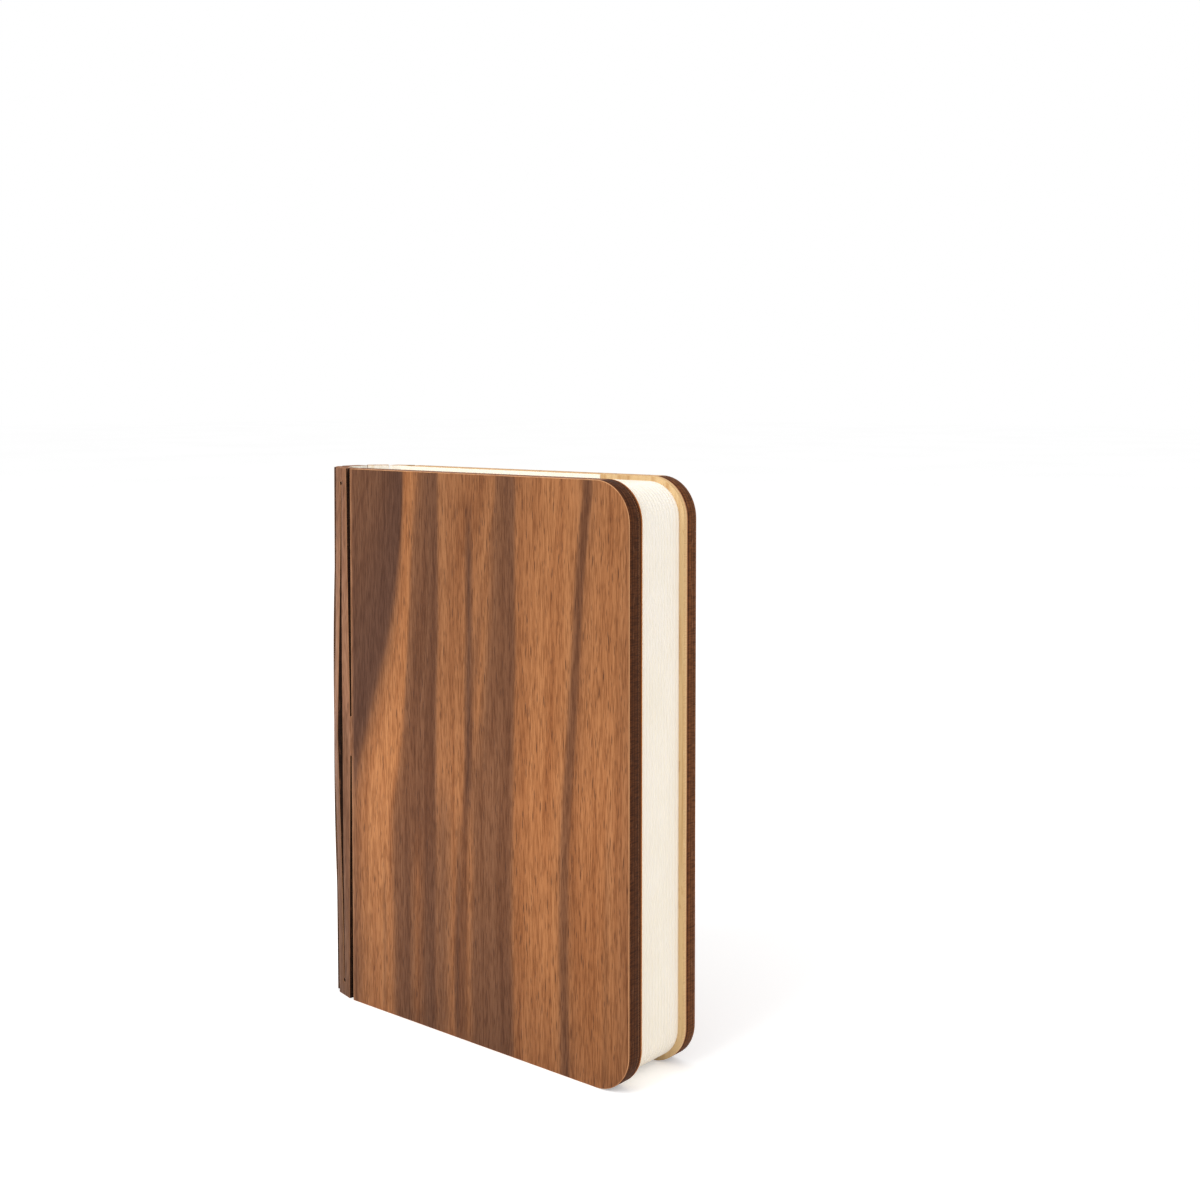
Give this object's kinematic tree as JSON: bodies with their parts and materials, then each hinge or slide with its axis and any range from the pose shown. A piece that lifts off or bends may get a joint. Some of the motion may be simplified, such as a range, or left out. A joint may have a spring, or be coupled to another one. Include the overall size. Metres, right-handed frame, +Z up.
{
  "type": "folding book lamp",
  "caption": "Pocket lamp shaped like a book: walnut covers on a laser-cut living hinge open round a lit accordion of paper leaves.",
  "frame": {"origin": "middle of the foot of the shut lamp, on the surface it stands on", "axes": "+X towards the fore-edge, +Y from the front cover to the back cover, +Z up"},
  "size_m": [0.093, 0.022, 0.122],
  "materials": {
    "walnut_ply": "satin",
    "pale_ply": "satin",
    "page_paper": "matte",
    "black_plastic": "matte",
    "frosted_lens": "satin",
    "white_board": "matte",
    "light_chip": "gloss",
    "cell_foil": "satin",
    "green_board": "satin",
    "bright_steel": "polished"
  },
  "bodies": {
    "spine_middle": {"spine_slat_3": "walnut_ply", "core_channel": "black_plastic", "core_lens": "frosted_lens", "light_strip": "white_board", "light_chips": "light_chip", "cell": "cell_foil", "control_board": "green_board", "charging_socket": "bright_steel"},
    "back_inner_slat": {"spine_slat_4": "walnut_ply"},
    "back_outer_slat": {"spine_slat_5": "walnut_ply"},
    "back_cover": {"back_cover": "walnut_ply", "back_board": "pale_ply", "back_magnets": "bright_steel", "back_leaf_01": "page_paper"},
    "back_leaf_02": {"back_leaf_02": "page_paper"},
    "back_leaf_03": {"back_leaf_03": "page_paper"},
    "back_leaf_04": {"back_leaf_04": "page_paper"},
    "back_leaf_05": {"back_leaf_05": "page_paper"},
    "back_leaf_06": {"back_leaf_06": "page_paper"},
    "back_leaf_07": {"back_leaf_07": "page_paper"},
    "back_leaf_08": {"back_leaf_08": "page_paper"},
    "back_leaf_09": {"back_leaf_09": "page_paper"},
    "back_leaf_10": {"back_leaf_10": "page_paper"},
    "back_leaf_11": {"back_leaf_11": "page_paper"},
    "back_leaf_12": {"back_leaf_12": "page_paper"},
    "back_leaf_13": {"back_leaf_13": "page_paper"},
    "back_leaf_14": {"back_leaf_14": "page_paper"},
    "front_inner_slat": {"spine_slat_2": "walnut_ply"},
    "front_outer_slat": {"spine_slat_1": "walnut_ply"},
    "front_cover": {"front_cover": "walnut_ply", "front_board": "pale_ply", "front_magnets": "bright_steel", "front_leaf_01": "page_paper"},
    "front_leaf_02": {"front_leaf_02": "page_paper"},
    "front_leaf_03": {"front_leaf_03": "page_paper"},
    "front_leaf_04": {"front_leaf_04": "page_paper"},
    "front_leaf_05": {"front_leaf_05": "page_paper"},
    "front_leaf_06": {"front_leaf_06": "page_paper"},
    "front_leaf_07": {"front_leaf_07": "page_paper"},
    "front_leaf_08": {"front_leaf_08": "page_paper"},
    "front_leaf_09": {"front_leaf_09": "page_paper"},
    "front_leaf_10": {"front_leaf_10": "page_paper"},
    "front_leaf_11": {"front_leaf_11": "page_paper"},
    "front_leaf_12": {"front_leaf_12": "page_paper"},
    "front_leaf_13": {"front_leaf_13": "page_paper"},
    "front_leaf_14": {"front_leaf_14": "page_paper"}
  },
  "joints": [
    {"name": "spine_bend_back_inner", "type": "hinge", "parent": "spine_middle", "child": "back_inner_slat", "pos_m": [-0.04488, 0.00312, 0], "axis": [0, 0, 1], "range_deg": [0, 80]},
    {"name": "spine_bend_back_outer", "type": "hinge", "parent": "back_inner_slat", "child": "back_outer_slat", "pos_m": [-0.04087, 0.00789, 0], "axis": [0, 0, 1], "range_deg": [0, 72]},
    {"name": "cover_bend_back", "type": "hinge", "parent": "back_outer_slat", "child": "back_cover", "pos_m": [-0.03482, 0.0094, 0], "axis": [0, 0, 1], "range_deg": [0, 33.3]},
    {"name": "back_outer_fold_1", "type": "hinge", "parent": "back_cover", "child": "back_leaf_02", "pos_m": [0.04493, 0.00645, 0], "axis": [0, 0, 1], "range_deg": [0, 0.5]},
    {"name": "back_inner_fold_1", "type": "hinge", "parent": "back_leaf_02", "child": "back_leaf_03", "pos_m": [-0.03638, 0.00596, 0], "axis": [0, 0, -1], "range_deg": [0, 43.3]},
    {"name": "back_outer_fold_2", "type": "hinge", "parent": "back_leaf_03", "child": "back_leaf_04", "pos_m": [0.04493, 0.00546, 0], "axis": [0, 0, 1], "range_deg": [0, 0.5]},
    {"name": "back_inner_fold_2", "type": "hinge", "parent": "back_leaf_04", "child": "back_leaf_05", "pos_m": [-0.03638, 0.00496, 0], "axis": [0, 0, -1], "range_deg": [0, 35.5]},
    {"name": "back_outer_fold_3", "type": "hinge", "parent": "back_leaf_05", "child": "back_leaf_06", "pos_m": [0.04493, 0.00447, 0], "axis": [0, 0, 1], "range_deg": [0, 0.5]},
    {"name": "back_inner_fold_3", "type": "hinge", "parent": "back_leaf_06", "child": "back_leaf_07", "pos_m": [-0.03638, 0.00397, 0], "axis": [0, 0, -1], "range_deg": [0, 28.5]},
    {"name": "back_outer_fold_4", "type": "hinge", "parent": "back_leaf_07", "child": "back_leaf_08", "pos_m": [0.04493, 0.00347, 0], "axis": [0, 0, 1], "range_deg": [0, 0.5]},
    {"name": "back_inner_fold_4", "type": "hinge", "parent": "back_leaf_08", "child": "back_leaf_09", "pos_m": [-0.03638, 0.00298, 0], "axis": [0, 0, -1], "range_deg": [0, 25.5]},
    {"name": "back_outer_fold_5", "type": "hinge", "parent": "back_leaf_09", "child": "back_leaf_10", "pos_m": [0.04493, 0.00248, 0], "axis": [0, 0, 1], "range_deg": [0, 3.5]},
    {"name": "back_inner_fold_5", "type": "hinge", "parent": "back_leaf_10", "child": "back_leaf_11", "pos_m": [-0.03638, 0.00199, 0], "axis": [0, 0, -1], "range_deg": [0, 23]},
    {"name": "back_outer_fold_6", "type": "hinge", "parent": "back_leaf_11", "child": "back_leaf_12", "pos_m": [0.04493, 0.00149, 0], "axis": [0, 0, 1], "range_deg": [0, 6.4]},
    {"name": "back_inner_fold_6", "type": "hinge", "parent": "back_leaf_12", "child": "back_leaf_13", "pos_m": [-0.03638, 0.00099, 0], "axis": [0, 0, -1], "range_deg": [0, 27.4]},
    {"name": "back_outer_fold_7", "type": "hinge", "parent": "back_leaf_13", "child": "back_leaf_14", "pos_m": [0.04493, 0.0005, 0], "axis": [0, 0, 1], "range_deg": [0, 0.5]},
    {"name": "spine_bend_front_inner", "type": "hinge", "parent": "spine_middle", "child": "front_inner_slat", "pos_m": [-0.04488, -0.00312, 0], "axis": [0, 0, -1], "range_deg": [0, 80]},
    {"name": "spine_bend_front_outer", "type": "hinge", "parent": "front_inner_slat", "child": "front_outer_slat", "pos_m": [-0.04087, -0.00789, 0], "axis": [0, 0, -1], "range_deg": [0, 72]},
    {"name": "cover_bend_front", "type": "hinge", "parent": "front_outer_slat", "child": "front_cover", "pos_m": [-0.03482, -0.0094, 0], "axis": [0, 0, -1], "range_deg": [0, 33.3]},
    {"name": "front_outer_fold_1", "type": "hinge", "parent": "front_cover", "child": "front_leaf_02", "pos_m": [0.04493, -0.00645, 0], "axis": [0, 0, -1], "range_deg": [0, 0.5]},
    {"name": "front_inner_fold_1", "type": "hinge", "parent": "front_leaf_02", "child": "front_leaf_03", "pos_m": [-0.03638, -0.00596, 0], "axis": [0, 0, 1], "range_deg": [0, 43.3]},
    {"name": "front_outer_fold_2", "type": "hinge", "parent": "front_leaf_03", "child": "front_leaf_04", "pos_m": [0.04493, -0.00546, 0], "axis": [0, 0, -1], "range_deg": [0, 0.5]},
    {"name": "front_inner_fold_2", "type": "hinge", "parent": "front_leaf_04", "child": "front_leaf_05", "pos_m": [-0.03638, -0.00496, 0], "axis": [0, 0, 1], "range_deg": [0, 35.5]},
    {"name": "front_outer_fold_3", "type": "hinge", "parent": "front_leaf_05", "child": "front_leaf_06", "pos_m": [0.04493, -0.00447, 0], "axis": [0, 0, -1], "range_deg": [0, 0.5]},
    {"name": "front_inner_fold_3", "type": "hinge", "parent": "front_leaf_06", "child": "front_leaf_07", "pos_m": [-0.03638, -0.00397, 0], "axis": [0, 0, 1], "range_deg": [0, 28.5]},
    {"name": "front_outer_fold_4", "type": "hinge", "parent": "front_leaf_07", "child": "front_leaf_08", "pos_m": [0.04493, -0.00347, 0], "axis": [0, 0, -1], "range_deg": [0, 0.5]},
    {"name": "front_inner_fold_4", "type": "hinge", "parent": "front_leaf_08", "child": "front_leaf_09", "pos_m": [-0.03638, -0.00298, 0], "axis": [0, 0, 1], "range_deg": [0, 25.5]},
    {"name": "front_outer_fold_5", "type": "hinge", "parent": "front_leaf_09", "child": "front_leaf_10", "pos_m": [0.04493, -0.00248, 0], "axis": [0, 0, -1], "range_deg": [0, 3.5]},
    {"name": "front_inner_fold_5", "type": "hinge", "parent": "front_leaf_10", "child": "front_leaf_11", "pos_m": [-0.03638, -0.00199, 0], "axis": [0, 0, 1], "range_deg": [0, 23]},
    {"name": "front_outer_fold_6", "type": "hinge", "parent": "front_leaf_11", "child": "front_leaf_12", "pos_m": [0.04493, -0.00149, 0], "axis": [0, 0, -1], "range_deg": [0, 6.4]},
    {"name": "front_inner_fold_6", "type": "hinge", "parent": "front_leaf_12", "child": "front_leaf_13", "pos_m": [-0.03638, -0.00099, 0], "axis": [0, 0, 1], "range_deg": [0, 27.4]},
    {"name": "front_outer_fold_7", "type": "hinge", "parent": "front_leaf_13", "child": "front_leaf_14", "pos_m": [0.04493, -0.0005, 0], "axis": [0, 0, -1], "range_deg": [0, 0.5]}
  ],
  "couplings": [
    {"joint": "spine_bend_back_outer", "follows": "spine_bend_back_inner", "ratio": 0.9},
    {"joint": "cover_bend_back", "follows": "spine_bend_back_inner", "ratio": 0.41625},
    {"joint": "back_outer_fold_1", "follows": "spine_bend_back_inner", "ratio": 0.00625},
    {"joint": "back_inner_fold_1", "follows": "spine_bend_back_inner", "ratio": 0.54125},
    {"joint": "back_outer_fold_2", "follows": "spine_bend_back_inner", "ratio": 0.00625},
    {"joint": "back_inner_fold_2", "follows": "spine_bend_back_inner", "ratio": 0.44375},
    {"joint": "back_outer_fold_3", "follows": "spine_bend_back_inner", "ratio": 0.00625},
    {"joint": "back_inner_fold_3", "follows": "spine_bend_back_inner", "ratio": 0.35625},
    {"joint": "back_outer_fold_4", "follows": "spine_bend_back_inner", "ratio": 0.00625},
    {"joint": "back_inner_fold_4", "follows": "spine_bend_back_inner", "ratio": 0.31875},
    {"joint": "back_outer_fold_5", "follows": "spine_bend_back_inner", "ratio": 0.04375},
    {"joint": "back_inner_fold_5", "follows": "spine_bend_back_inner", "ratio": 0.2875},
    {"joint": "back_outer_fold_6", "follows": "spine_bend_back_inner", "ratio": 0.08},
    {"joint": "back_inner_fold_6", "follows": "spine_bend_back_inner", "ratio": 0.3425},
    {"joint": "back_outer_fold_7", "follows": "spine_bend_back_inner", "ratio": 0.00625},
    {"joint": "spine_bend_front_inner", "follows": "spine_bend_back_inner", "ratio": 1},
    {"joint": "spine_bend_front_outer", "follows": "spine_bend_back_inner", "ratio": 0.9},
    {"joint": "cover_bend_front", "follows": "spine_bend_back_inner", "ratio": 0.41625},
    {"joint": "front_outer_fold_1", "follows": "spine_bend_back_inner", "ratio": 0.00625},
    {"joint": "front_inner_fold_1", "follows": "spine_bend_back_inner", "ratio": 0.54125},
    {"joint": "front_outer_fold_2", "follows": "spine_bend_back_inner", "ratio": 0.00625},
    {"joint": "front_inner_fold_2", "follows": "spine_bend_back_inner", "ratio": 0.44375},
    {"joint": "front_outer_fold_3", "follows": "spine_bend_back_inner", "ratio": 0.00625},
    {"joint": "front_inner_fold_3", "follows": "spine_bend_back_inner", "ratio": 0.35625},
    {"joint": "front_outer_fold_4", "follows": "spine_bend_back_inner", "ratio": 0.00625},
    {"joint": "front_inner_fold_4", "follows": "spine_bend_back_inner", "ratio": 0.31875},
    {"joint": "front_outer_fold_5", "follows": "spine_bend_back_inner", "ratio": 0.04375},
    {"joint": "front_inner_fold_5", "follows": "spine_bend_back_inner", "ratio": 0.2875},
    {"joint": "front_outer_fold_6", "follows": "spine_bend_back_inner", "ratio": 0.08},
    {"joint": "front_inner_fold_6", "follows": "spine_bend_back_inner", "ratio": 0.3425},
    {"joint": "front_outer_fold_7", "follows": "spine_bend_back_inner", "ratio": 0.00625}
  ]
}
